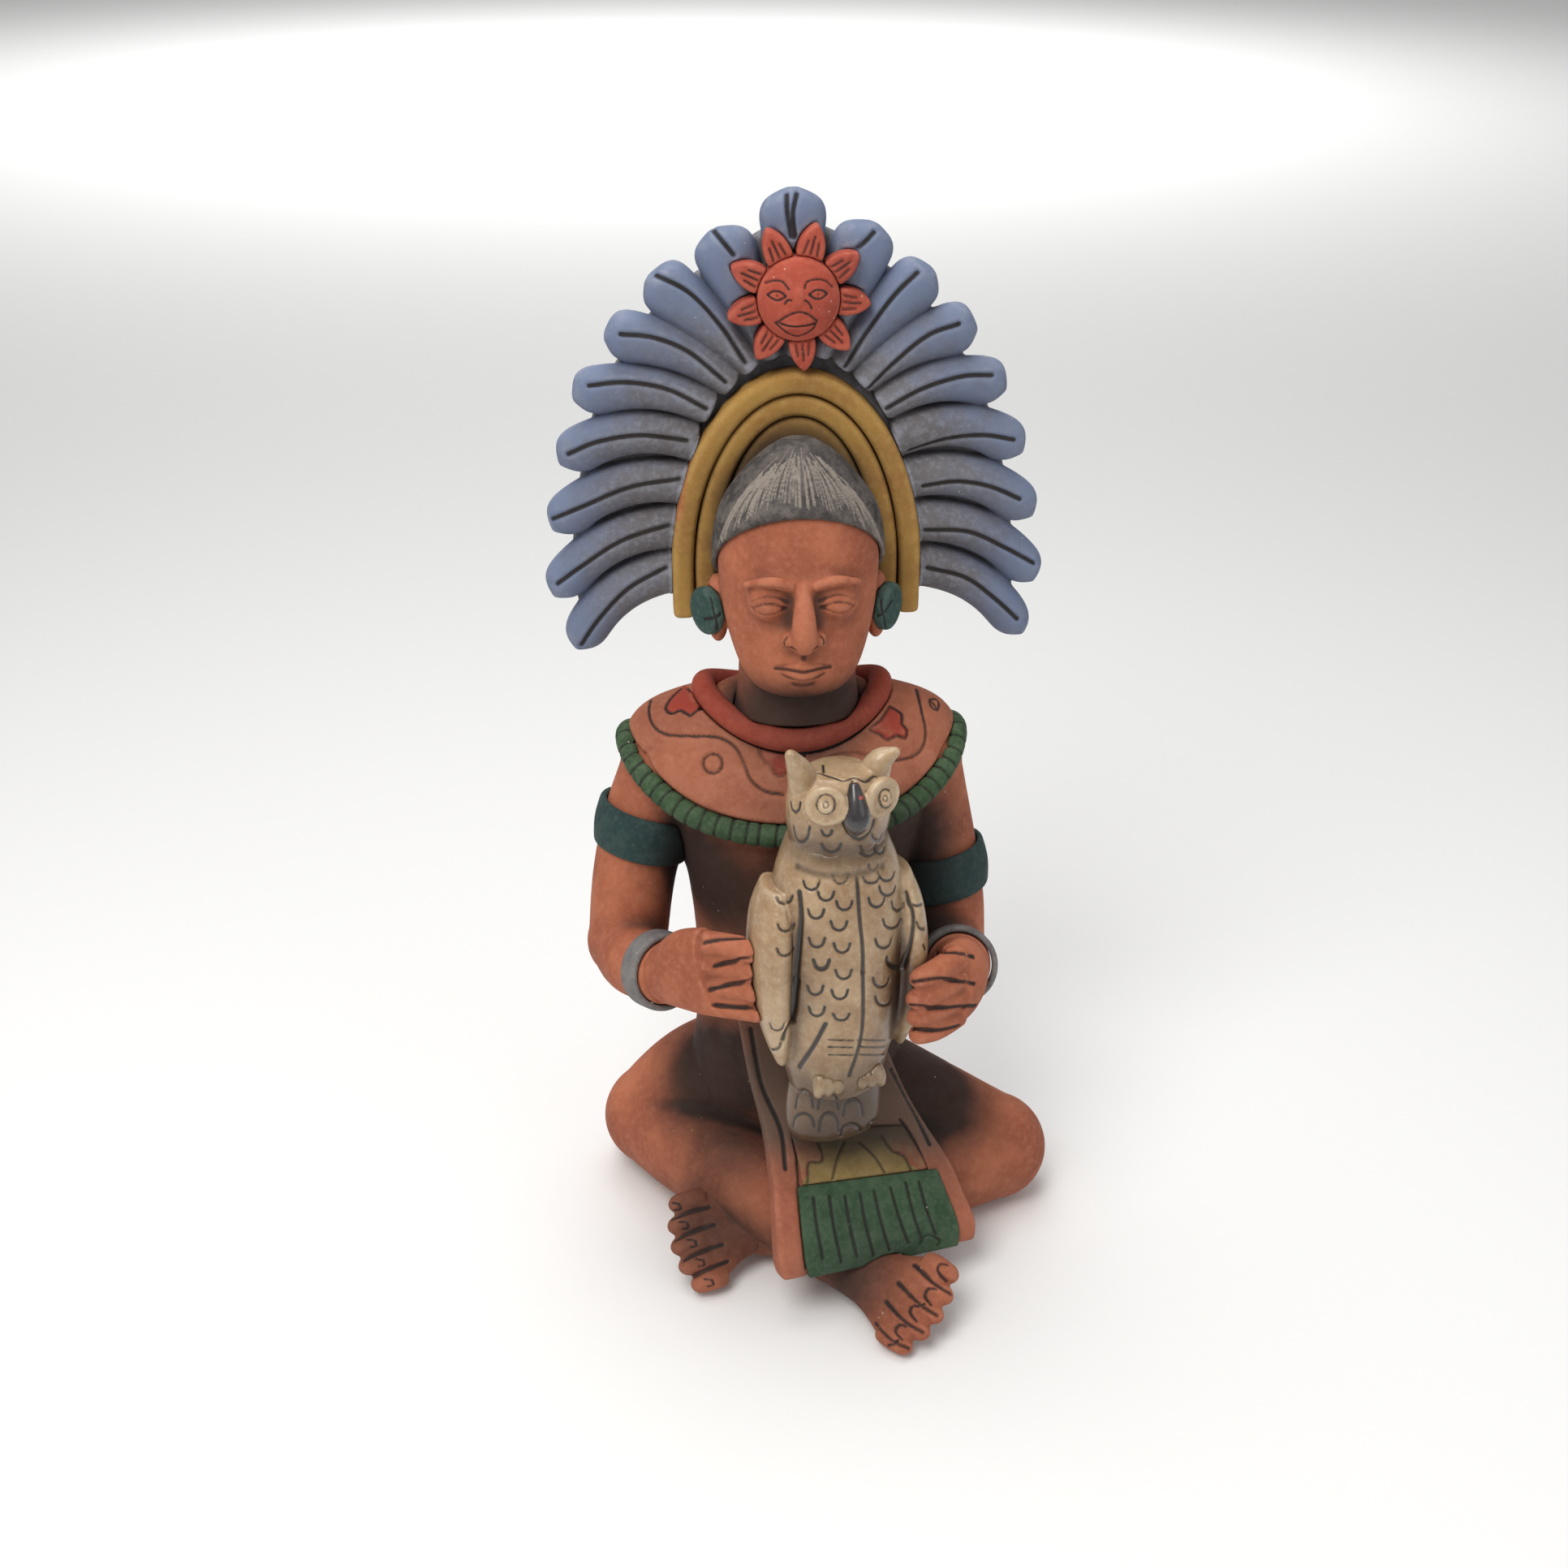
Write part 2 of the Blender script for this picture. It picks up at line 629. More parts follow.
PHILTRUM = [(0, 0.300), (0, 0.275)]


def make_head(node):
    clay = make_skin(node, 0.46)
    low, high = BOXES[node]
    middle, half = (low[0] + high[0]) / 2, (high[0] - low[0]) / 2
    tall = (high[2] - low[2]) * FACE_SHARE

    def line(points, width, depth, ink=1.0):
        places = [(middle + half * a, low[2] + tall * b) for a, b in points]
        clay.press(face_on(node, places, 1.0), width, depth, ink)

    for side in (-1, 1):
        for points, width, depth in FACE_PAIRS:
            line([(side * (EYE_SIDE + a), EYE_HEIGHT + b) for a, b in points], width, depth, depth * 0.8)
        line([(side * a, b) for a, b in WING_LINE], 0.9, 0.8)
        line([(side * 0.12, 0.346), (side * 0.16, 0.346)], 1.3, 1.2, 0.8)
    line(MOUTH_LINE, 1.0, 1.3, 0.8)
    line(UPPER_LIP, 0.8, 0.5, 0.3)
    line(LOWER_LIP, 1.0, 0.5, 0.25)
    line(CHIN_LINE, 1.8, 0.5, 0.1)
    line(PHILTRUM, 1.4, 0.4, 0)
    return clay


# Hair

HAIR_STRANDS = 64
HAIR_TOP = (985, 546)
HAIR_SPREAD = 66
HAIR_DROP = 46
HAIR_BULGE = 34
HAIRLINE = [(880, 690), (892, 668), (917, 647), (939, 634), (987, 632), (1035, 632), (1062, 652), (1087, 677),
            (1094, 700)]


def make_hair(node):
    """The hair cap, combed from the crown to the hairline with fine lines."""
    clay = make_plain(node)
    line = np.array(rounded(HAIRLINE, 2.0))
    for strand in range(HAIR_STRANDS):
        share = (strand + 0.5 + RANDOM.uniform(-0.35, 0.35)) / HAIR_STRANDS
        foot = line[int(share * (len(line) - 1))]
        top = (HAIR_TOP[0] + (share - 0.5) * HAIR_SPREAD,
               HAIR_TOP[1] + abs(share - 0.5) * HAIR_DROP + RANDOM.uniform(-3, 8))
        bulge = (share - 0.5) * HAIR_BULGE
        start, end = RANDOM.uniform(0.0, 0.35), RANDOM.uniform(0.75, 0.98)
        points = [(top[0] + (foot[0] - top[0]) * t + bulge * math.sin(math.pi * t),
                   top[1] + (foot[1] - top[1]) * t) for t in np.linspace(start, end, 5)]
        clay.press(cast(WHOLE, points, [node]), 0.55, 0.35, 0.9)
    return clay


# Ear spools: how far their faces turn outward, and the cross's lean and reach

SPOOL_TURN = math.radians(32.0)
CROSS_LEAN = 0.35
CROSS_REACH = 0.86


def make_spool(node):
    """An ear spool with a pressed cross."""
    clay = make_plain(node)
    low, high = BOXES[node]
    turn = -SPOOL_TURN if node == "right_ear_spool" else SPOOL_TURN
    out = np.array([math.sin(turn), -math.cos(turn), 0.0])
    along = np.array([math.cos(turn), math.sin(turn), 0.0])
    corners = MESHES[node][0]
    depth = corners @ out
    face = corners[depth > depth.max() - 0.6]
    middle = (face.min(0) + face.max(0)) / 2
    radius = (high[2] - low[2]) / 2
    for a in (CROSS_LEAN, CROSS_LEAN + math.pi / 2):
        arm = (along * math.cos(a) + np.array([0, 0, 1.0]) * math.sin(a)) * radius * CROSS_REACH
        clay.press([middle + arm * t for t in np.linspace(-1, 1, 11)], 1.1, 1.0)
    return clay


# Owl

OWL_MARK = (105, 60)
OWL_TOP_MARKS = [
    (455, 725, 1.0, 1.7), (620, 685, 0.65, 0.6), (650, 790, 1.2, 0.9), (890, 810, 1.0, 1.0),
    (945, 715, 0.6, 0.7), (965, 795, 0.6, 0.7), (925, 905, 0.6, 0.7), (400, 390, 0.5, 1.2),
    (415, 530, 0.6, 1.1),
    (520, 1030, 1, 1), (710, 990, 1, 1), (615, 1100, 1, 1), (735, 1160, 1, 1), (550, 1215, 1, 1),
    (700, 1292, 1, 1), (555, 1400, 1, 1), (720, 1435, 1, 1), (585, 1550, 1, 1),
    (910, 985, 1, 0.6), (1010, 970, 1, 1), (1015, 1065, 1, 1), (945, 1140, 1, 1), (1080, 1165, 0.7, 1),
    (1040, 1278, 1, 1), (990, 1405, 1, 1), (1065, 1520, 1, 1),
    (345, 1115, 1, 0.8), (355, 1295, 1, 0.8), (350, 1455, 1, 0.8), (1200, 1130, 1, 0.8), (1255, 1285, 1, 0.8),
    (1290, 1430, 0.8, 0.8),
]
OWL_LOW_MARKS = [
    (585, 238, 1, 1), (730, 298, 1, 1), (545, 400, 1, 1), (705, 428, 1, 1), (555, 538, 1, 1),
    (715, 565, 1, 0.7), (1065, 225, 1, 1), (975, 350, 1, 1), (990, 468, 1, 1), (300, 632, 1, 0.8),
    (275, 755, 1, 0.8),
]
TAIL_MARKS = [(475, 1010, 115, 110), (630, 1030, 130, 100), (790, 1070, 125, 100), (470, 1160, 140, 90),
              (635, 1155, 125, 125), (780, 1230, 135, 80), (935, 1205, 110, 80)]
OWL_LINES = [
    (OWL_VIEW, [(820, 960), (835, 1200), (855, 1400), (857, 1560)], 1.3, 1.5),
    (TAIL_VIEW, [(857, 250), (858, 540), (835, 720), (770, 920)], 1.3, 1.5),
    (TAIL_VIEW, [(612, 590), (540, 720), (440, 868)], 1.5, 1.5),
    (OWL_VIEW, [(430, 880), (540, 925), (700, 940), (860, 925), (985, 880)], 3.6, 0.8),
    (OWL_VIEW, [(440, 1045), (452, 1200), (440, 1400), (420, 1620)], 1.7, 1.6),
    (TAIL_VIEW, [(425, 300), (400, 520), (345, 690)], 2.0, 1.6),
    (OWL_VIEW, [(1130, 1040), (1180, 1200), (1150, 1400), (1110, 1520)], 1.5, 1.4),
    (OWL_VIEW, [(480, 300), (560, 275), (660, 300), (730, 320), (800, 300), (870, 330), (930, 295),
                (1000, 320), (1030, 370)], 0.9, 0.8),
    (OWL_VIEW, [(595, 220), (600, 270)], 0.8, 0.6),
    (OWL_VIEW, [(920, 235), (945, 290)], 0.8, 0.6),
    (OWL_VIEW, [(790, 325), (765, 420), (740, 500), (735, 585), (760, 655), (830, 706), (905, 650),
                (928, 560), (915, 470), (885, 400)], 1.1, 1.1),
]
LEG_LINE_HEIGHTS = (690, 735, 785)
EYE_RINGS = [((614, 480), (62, 66)), ((1000, 440), (42, 62))]
EYE_EDGE = 1.32
CARRIED = ["owl_body", "owl_head", "owl_right_wing", "owl_left_wing", "owl_tail"]
CLAW_PLACES = [(470, 900), (530, 925), (600, 900), (660, 925), (800, 890), (850, 900), (905, 880)]


def make_owl_part(node):
    """A piece of the owl with its share of the feather marks pressed in."""
    clay = Clay(node, 0.42)
    if node == "owl_head":
        clay.lute(OWL + ["owl_eyes"], 2.0)
    else:
        clay.lute(OWL, 1.3)
    clay.wobble(0.08)
    wide, tall = OWL_MARK
    for view, marks in ((OWL_VIEW, OWL_TOP_MARKS), (TAIL_VIEW, OWL_LOW_MARKS)):
        arcs = [arc(x, y, wide * across / 2, tall * high, 0.72) for x, y, across, high in marks]
        clay.press_all(view, arcs, 1.0, 0.9, CARRIED)
    arcs = [arc(x, y, across / 2, -high, 0.75) for x, y, across, high in TAIL_MARKS]
    clay.press_all(TAIL_VIEW, arcs, 1.0, 0.9, CARRIED)
    for view, points, width, depth in OWL_LINES:
        clay.press(cast(view, points, CARRIED), width, depth, 1.0 if width < 3 else 0.3)
    rings = [oval(x, y, across * EYE_EDGE, high * EYE_EDGE, 17) for (x, y), (across, high) in EYE_RINGS]
    clay.press_all(OWL_VIEW, rings, 1.0, 0.9, ["owl_head", "owl_eyes", "owl_beak"])
    for height in LEG_LINE_HEIGHTS:
        pair = [[(632, height), (795, height + 4)], [(832, height), (995, height + 2)]]
        clay.press_all(TAIL_VIEW, pair, 0.7, 0.6, CARRIED)
    return clay


def make_owl_feet(node):
    clay = Clay(node, 0.4)
    clay.soften(0.5)
    clay.press_all(TAIL_VIEW, [[(x, y - 30), (x + 6, y + 30)] for x, y in CLAW_PLACES], 0.8, 0.8)
    return clay


def make_owl_eyes(node):
    clay = Clay(node, 0.34)
    clay.lute(["owl_head", "owl_beak"], 1.8, 0.6)
    for (x, y), (across, high) in EYE_RINGS:
        for share, depth in ((1.0, 0.7), (0.36, 0.9)):
            clay.press_all(OWL_VIEW, [oval(x, y, across * share, high * share, 13)], 0.7, depth)
    return clay


# Apron

APRON_LINES = [
    [(405, 105), (430, 250), (440, 430), (455, 620), (480, 840)],
    [(1010, 0), (1090, 120), (1150, 260), (1190, 340), (1290, 500), (1320, 620)],
]
FOLD_LINES = [[(925, 1268), (938, 1336), (962, 1392), (968, 1440)],
              [(1098, 1318), (1124, 1366), (1146, 1410)]]
PANEL_LINES = [
    [(690, 125), (650, 230), (615, 405)],
    [(780, 125), (870, 210), (950, 340)],
    [(545, 130), (572, 205), (556, 238), (495, 240), (488, 300), (490, 410)],
    [(905, 90), (965, 172), (1030, 200), (1060, 250), (1085, 310)],
]
FRINGE_TOPS = [(520, 440), (610, 430), (700, 430), (785, 415), (865, 400), (960, 385), (1045, 355),
               (1120, 350)]
FRINGE_ENDS = [(575, 790), (680, 810), (770, 780), (865, 775), (955, 745), (1060, 700), (1140, 690),
               (1215, 650)]
FRINGE_BEND = 6
CHIP_LINE = [(1125, 712), (1150, 668), (1185, 655), (1240, 690), (1225, 715)]


def make_apron(node):
    clay = make_plain(node)
    clay.press_all(HEM_VIEW, APRON_LINES, 1.2, 1.1)
    clay.press_all(WHOLE, FOLD_LINES, 1.5, 1.2)
    return clay


def make_panel(node):
    clay = make_plain(node)
    clay.press_all(HEM_VIEW, PANEL_LINES, 1.1, 1.0)
    return clay


def make_fringe(node):
    clay = make_plain(node)
    for top, end in zip(FRINGE_TOPS, FRINGE_ENDS):
        middle = ((top[0] + end[0]) / 2 - FRINGE_BEND, (top[1] + end[1]) / 2)
        clay.press_all(HEM_VIEW, [[top, middle, end]], 1.2, 1.1)
    clay.press_all(HEM_VIEW, [CHIP_LINE], 0.9, 1.0)
    return clay


# Softened and uneven pieces: voxel, softening, unevenness

PLAIN = {
    "outer_arch": (0.5, 0.9, 0.2), "middle_arch": (0.5, 0.9, 0.2), "inner_arch": (0.5, 0.8, 0.2),
    "headdress_plate": (0.85, 1.0, 0.25), "sun_disc": (0.36, 0.55, 0.06), "sun_rays": (0.4, 0.6, 0.08),
    "hair_cap": (0.42, 0.5, 0.1), "right_ear_spool": (0.38, 0.5, 0.06), "left_ear_spool": (0.38, 0.5, 0.06),
    "collar": (0.5, 0.8, 0.12), "collar_rim": (0.45, 0.5, 0.1), "collar_neck_roll": (0.5, 0.7, 0.18),
    "right_armband": (0.5, 0.8, 0.15), "left_armband": (0.5, 0.8, 0.15),
    "right_bracelet": (0.45, 0.9, 0.12), "left_bracelet": (0.45, 0.9, 0.12),
    "apron": (0.55, 0.9, 0.15), "apron_panel": (0.42, 0.45, 0.06), "apron_fringe": (0.42, 0.55, 0.1),
    "owl_beak": (0.34, 0.45, 0.05),
}


def make_plain(node):
    voxel, sigma, uneven = PLAIN[node]
    clay = Clay(node, voxel)
    clay.soften(sigma)
    clay.wobble(uneven)
    return clay


# Stain: how deep in the figure's hollows a point lies, from the solid share of the space around it

STAIN_VOXEL = 2.5
STAIN_WIDE = 10.0
STAIN_NEAR = 4.5
STAIN_BAND = 3.0
STAIN_PAD = 30.0
figure_first = np.floor((np.array(cad_low) * MM - STAIN_PAD) / STAIN_VOXEL).astype(int)
figure_last = np.ceil((np.array(cad_high) * MM + STAIN_PAD) / STAIN_VOXEL).astype(int)
figure_shape = tuple(figure_last - figure_first + 1)
solid = np.zeros(figure_shape, np.float32)
for node in frame["nodes"]:
    values = distances(node, STAIN_VOXEL, figure_first, figure_shape, STAIN_BAND)
    solid = np.maximum(solid, np.clip(0.5 - values / STAIN_VOXEL, 0, 1))
stain_wide = blur(solid, STAIN_WIDE / STAIN_VOXEL)
stain_near = blur(solid, STAIN_NEAR / STAIN_VOXEL)
figure_middle = (np.array(cad_low) + np.array(cad_high)) * MM / 2
figure_half = (np.array(cad_high) - np.array(cad_low)) * MM / 2

# Smoke marks: place and reach as shares of the figure's half width, half depth and half height, then strength
SMOKE_MARKS = [
    ((-0.05, 0.20, 0.13), (0.31, 0.40, 0.09), 1.1),
    ((-0.44, 0.26, -0.67), (0.25, 0.40, 0.11), 1.1),
    ((0.48, 0.24, -0.70), (0.27, 0.40, 0.12), 1.1),
    ((0.00, 0.16, -0.25), (0.46, 0.40, 0.18), 0.95),
    ((0.40, 0.21, -0.14), (0.21, 0.32, 0.11), 0.65),
    ((-0.48, 0.32, -0.18), (0.15, 0.35, 0.13), 0.8),
    ((-0.46, -0.28, -0.90), (0.24, 0.33, 0.09), 0.42),
    ((0.08, -0.61, -0.92), (0.27, 0.30, 0.10), 0.45),
    ((0.08, -0.03, -0.58), (0.50, 0.35, 0.17), 1.0),
    ((0.10, -0.34, -0.66), (0.31, 0.20, 0.06), 0.6),
    ((0.04, -0.40, -0.52), (0.23, 0.22, 0.10), 0.55),
    ((0.04, -0.40, -0.02), (0.26, 0.30, 0.05), 0.7),
    ((0.00, 0.00, -0.95), (1.15, 1.10, 0.26), 0.34),
]
SMOKE_HOLLOW = 0.5
HOLLOW_FROM = 0.5
HOLLOW_SPAN = 0.14


def smoked(points):
    """How smoked points are: where the firing left its marks, and in the hollows."""
    hollow = read_at(stain_wide, figure_first, STAIN_VOXEL, points)
    total = SMOKE_HOLLOW * np.clip((hollow - HOLLOW_FROM) / HOLLOW_SPAN, 0, 1)
    for place, reach, strength in SMOKE_MARKS:
        gap = (points - figure_middle - figure_half * np.array(place)) / (figure_half * np.array(reach))
        total += strength * np.exp(-(gap ** 2).sum(1))
    return total


# Meshes

def attribute(mesh, name, values):
    layer = mesh.attributes.new(name, "FLOAT", "POINT")
    layer.data.foreach_set("value", np.asarray(values, np.float32))


def surface(clay, material, paint=None):
    """The worked clay as a closed mesh that stands for its CAD node."""
    grid = vdb.FloatGrid(BAND)
    grid.copyFromArray(clay.field, ijk=tuple(int(i) for i in clay.first), tolerance=0.0)
    grid.transform = vdb.createLinearTransform(clay.voxel)
    points, quads = grid.convertToQuads(0.0)
    quads = quads[:, ::-1].astype(np.int32)
    a, b, c = (points[quads[:, i]].astype(float) for i in (0, 1, 2))
    d = points[quads[:, 3]].astype(float)
    volume = np.einsum("ij,ij->", a, np.cross(b, c)) + np.einsum("ij,ij->", a, np.cross(c, d))
    if volume < 0:
        quads = quads[:, ::-1]
    mesh = bpy.data.meshes.new(clay.node + "_clay")
    mesh.vertices.add(len(points))
    mesh.vertices.foreach_set("co", (points / MM).astype(np.float32).ravel())
    mesh.loops.add(quads.size)
    mesh.loops.foreach_set("vertex_index", np.ascontiguousarray(quads).ravel())
    mesh.polygons.add(len(quads))
    mesh.polygons.foreach_set("loop_start", np.arange(0, quads.size, 4, dtype=np.int32))
    mesh.polygons.foreach_set("use_smooth", np.ones(len(quads), bool))
    mesh.update(calc_edges=True)
    places = points.astype(float)
    fine = blur(clay.field, 1.3 / clay.voxel)
    attribute(mesh, "cavity", read_at(fine, clay.first, clay.voxel, places))
    attribute(mesh, "ink", read_at(clay.ink, clay.first, clay.voxel, places))
    attribute(mesh, "stain", read_at(stain_wide, figure_first, STAIN_VOXEL, places))
    attribute(mesh, "fold", read_at(stain_near, figure_first, STAIN_VOXEL, places))
    attribute(mesh, "smoke", smoked(places))
    attribute(mesh, "paint", np.zeros(len(points)) if paint is None else paint(places))
    mesh.materials.append(material)
    piece = bpy.data.objects.new(clay.node + "_clay", mesh)
    bpy.context.scene.collection.objects.link(piece)
    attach(piece, "root")
    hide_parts(clay.node)
    return piece


# Materials

def srgb(red, green, blue):
    """A screen colour chosen by eye, as linear light."""
    parts = []
    for value in (red, green, blue):
        value /= 255
        parts.append(value / 12.92 if value <= 0.04045 else ((value + 0.055) / 1.055) ** 2.4)
    return (*parts, 1.0)


class Graph:
    """A material's nodes."""

    def __init__(self, name):
        self.material = bpy.data.materials.new(name)
        self.material.use_nodes = True
        self.tree = self.material.node_tree
        self.tree.nodes.clear()
        self.output = self.new("OutputMaterial")
        self.skin = self.new("BsdfPrincipled")
        self.link(self.skin.outputs[0], self.output.inputs[0])
        self.place = self.new("TexCoord").outputs["Object"]

    def new(self, kind, **values):
        """A shader node of a kind, with what its inputs are given."""
        node = self.tree.nodes.new("ShaderNode" + kind)
        for name, value in values.items():
            self.link(value, node.inputs[name.replace("_", " ")])
        return node

    def link(self, source, target):
        if isinstance(source, bpy.types.NodeSocket):
            self.tree.links.new(source, target)
        else:
            target.default_value = source

    def value(self, name):
        node = self.new("Attribute")
        node.attribute_name = name
        return node.outputs["Fac"]

    def noise(self, scale, detail=4.0, rough=0.6):
        return self.new("TexNoise", Vector=self.place, Scale=scale, Detail=detail, Roughness=rough).outputs["Fac"]

    def cells(self, scale):
        return self.new("TexVoronoi", Vector=self.place, Scale=scale).outputs["Distance"]

    def ramp(self, source, low, high, start=0.0, end=1.0):
        node = self.new("MapRange", Value=source, From_Min=low, From_Max=high, To_Min=start, To_Max=end)
        node.interpolation_type = "SMOOTHSTEP"
        return node.outputs["Result"]

    def math(self, kind, first, second=0.0):
        node = self.new("Math")
        node.operation = kind
        node.use_clamp = kind != "SUBTRACT"
        self.link(first, node.inputs[0])
        self.link(second, node.inputs[1])
        return node.outputs[0]

    def mix(self, share, first, second):
        node = self.new("Mix")
        node.data_type = "RGBA"
        self.link(share, node.inputs[0])
        self.link(first, node.inputs[6])
        self.link(second, node.inputs[7])
        return node.outputs[2]

    def bump(self, height, strength, distance, below=None):
        node = self.new("Bump", Strength=strength, Distance=distance, Height=height)
        if below is not None:
            self.link(below, node.inputs["Normal"])
        return node.outputs["Normal"]


INK = (34, 29, 27)
SMOKE = (43, 35, 31)
SPECK = (205, 190, 175)
SMOKE_FROM = 0.1
SMOKE_TO = 0.85


def clay_material(name, main, second, stain, worn, paint=None, ink=INK, stain_from=0.50, stain_to=0.68,
                  stain_most=0.85, fold_from=0.60, fold_to=0.80, smoke_most=0.94, rough=0.8, coat=0.0,
                  wear=0.5, specks=0.5):
    """Painted or bare fired clay: mottled, smoked in hollows, dark in its lines, rubbed and pitted."""
    main, second, stain, worn, ink = (srgb(*colour) for colour in (main, second, stain, worn, ink))
    g = Graph(name)
    mottle = g.ramp(g.noise(38.0, 5.0), 0.35, 0.65)
    colour = g.mix(mottle, main, second)
    fine = g.ramp(g.noise(420.0, 3.0, 0.7), 0.42, 0.72, 0.0, 0.35)
    colour = g.mix(fine, colour, worn)
    if paint is not None:
        colour = g.mix(g.ramp(g.value("paint"), 0.15, 0.85), colour, srgb(*paint))
    edge = g.ramp(g.value("cavity"), 0.10, 0.34)
    patches = g.ramp(g.noise(150.0, 4.0, 0.7), 0.38, 0.62)
    colour = g.mix(g.math("MULTIPLY", g.math("MULTIPLY", edge, patches), wear), colour, worn)
    cloudy = g.math("ADD", g.value("stain"), g.ramp(g.noise(55.0, 4.0), 0.3, 0.7, 0.0, 0.05))
    smoke = g.ramp(cloudy, stain_from, stain_to, 0.0, stain_most)
    colour = g.mix(smoke, colour, stain)
    drift = g.math("ADD", g.value("smoke"), g.ramp(g.noise(30.0, 4.0), 0.3, 0.7, -0.06, 0.1))
    colour = g.mix(g.ramp(drift, SMOKE_FROM, SMOKE_TO, 0.0, smoke_most), colour, stain)
    folds = g.ramp(g.value("fold"), fold_from, fold_to, 0.0, 0.75)
    colour = g.mix(folds, colour, stain)
    hollow = g.ramp(g.math("MULTIPLY", g.value("cavity"), -1.0), 0.05, 0.34, 0.0, 0.75)
    colour = g.mix(hollow, colour, ink)
    line = g.ramp(g.value("ink"), 0.18, 0.75, 0.0, 0.93)
    colour = g.mix(line, colour, ink)
    white = g.math("MULTIPLY", g.ramp(g.cells(260.0), 0.06, 0.11, 1.0, 0.0),
                   g.ramp(g.noise(90.0, 2.0), 0.60, 0.66, 0.0, specks))
    colour = g.mix(white, colour, srgb(*SPECK))
    g.link(colour, g.skin.inputs["Base Color"])
    g.link(g.ramp(g.noise(120.0, 4.0), 0.3, 0.7, rough - 0.09, rough + 0.09), g.skin.inputs["Roughness"])
    g.skin.inputs["Specular IOR Level"].default_value = 0.35
    if coat:
        g.skin.inputs["Coat Weight"].default_value = coat
        g.skin.inputs["Coat Roughness"].default_value = 0.16
    pits = g.ramp(g.cells(520.0), 0.05, 0.16)
    pitted = g.math("MAXIMUM", pits, g.ramp(g.noise(70.0, 2.0), 0.50, 0.58))
    normal = g.bump(pitted, 0.5, 0.0004)
    normal = g.bump(g.noise(300.0, 5.0, 0.65), 0.35, 0.0004, normal)
    normal = g.bump(g.noise(1600.0, 3.0, 0.6), 0.3, 0.0001, normal)
    g.link(normal, g.skin.inputs["Normal"])
    return g.material


# Each clay's main and second colour, its smoked and its rubbed colour, and what else differs
LOOKS = {
    "terracotta_skin": ((176, 104, 74), (148, 82, 58), SMOKE, (188, 120, 92), {}),
    "hair_grey": ((60, 57, 56), (50, 47, 46), SMOKE, (112, 104, 98),
                  dict(ink=(142, 132, 122), wear=0.6, smoke_most=0.3)),
    "spool_green": ((46, 72, 66), (38, 62, 58), (32, 40, 38), (88, 106, 98),
                    dict(stain_from=0.6, stain_to=0.8, smoke_most=0.3)),
    "feather_grey": ((106, 103, 106), (96, 92, 94), (70, 66, 66), (146, 150, 162),
                     dict(stain_from=0.56, stain_to=0.80, stain_most=0.6, wear=0.6, fold_from=0.7,
                          fold_to=0.95, specks=0.8)),
    "feather_blue": ((106, 103, 106), (96, 92, 94), (56, 51, 50), (146, 150, 162),
                     dict(paint=(106, 117, 142), stain_from=0.52, stain_to=0.74, wear=0.6, specks=0.8)),
    "arch_ochre": ((162, 124, 62), (144, 104, 54), (62, 46, 34), (178, 142, 82),
                   dict(paint=(158, 82, 56), stain_to=0.70)),
    "sun_red": ((166, 72, 54), (148, 62, 47), (74, 38, 32), (182, 98, 78),
                dict(stain_from=0.58, stain_to=0.85, stain_most=0.6)),
    "collar_orange": ((158, 94, 68), (142, 82, 60), (56, 40, 34), (178, 116, 90),
                      dict(paint=(150, 58, 43), stain_from=0.56, stain_to=0.78)),
    "collar_red": ((152, 62, 45), (136, 55, 41), (48, 33, 29), (172, 88, 66),
                   dict(stain_from=0.54, stain_to=0.74, smoke_most=0.35)),
    "bead_green": ((50, 75, 46), (41, 63, 40), (31, 38, 31), (96, 113, 86),
                   dict(wear=0.4, stain_from=0.54, stain_to=0.76, smoke_most=0.6)),
    "armband_teal": ((34, 58, 56), (27, 48, 48), (26, 29, 30), (70, 86, 82), dict(wear=0.3)),
    "bracelet_grey": ((106, 103, 103), (90, 86, 86), SMOKE, (138, 134, 130), dict(stain_to=0.70)),
    "apron_clay": ((172, 100, 73), (152, 86, 63), (84, 73, 63), (188, 118, 92), dict(smoke_most=0.88)),
    "panel_ochre": ((146, 120, 66), (128, 104, 60), (56, 50, 43), (168, 144, 92),
                    dict(paint=(158, 90, 66), stain_from=0.52, stain_to=0.72)),
    "fringe_green": ((50, 77, 51), (42, 66, 45), (40, 46, 40), (88, 108, 84),
                     dict(stain_from=0.56, stain_to=0.76, wear=0.35, smoke_most=0.5)),
    "owl_cream": ((180, 152, 118), (148, 116, 82), (62, 41, 26), (202, 182, 152),
                  dict(stain_from=0.43, stain_to=0.62, fold_from=0.52, fold_to=0.72, rough=0.42, coat=0.5)),
    "beak_black": ((40, 36, 38), (30, 28, 30), (20, 18, 18), (70, 62, 62),
                   dict(paint=(170, 60, 54), rough=0.3, coat=0.9, wear=0.2)),
}
MATERIALS = {name: clay_material(name, *colours, **more) for name, (*colours, more) in LOOKS.items()}


# Pieces

fan_x = (BOXES["feather_right_5"][0][0] + BOXES["feather_left_5"][1][0]) / 2
fan_z = BOXES["outer_arch"][0][2] + 30.0
FAN_INNER = 42.0
FAN_OUTER = 100.0
FAN_FLAT = 0.86


def feather_paint(points):
    """Blue over the outer part of the fan, broken by grey patches."""
    far = np.hypot(points[:, 0] - fan_x, (points[:, 2] - fan_z) * FAN_FLAT)
    patches = UNEVEN.at(*points.T) + DENTS.at(*points.T) * 0.6
    front = points[:, 1] < BOXES["feather_crest"][1][1] - 1.0
    return np.clip((far - FAN_INNER) / (FAN_OUTER - FAN_INNER) + patches * 0.25, 0, 0.9) * front


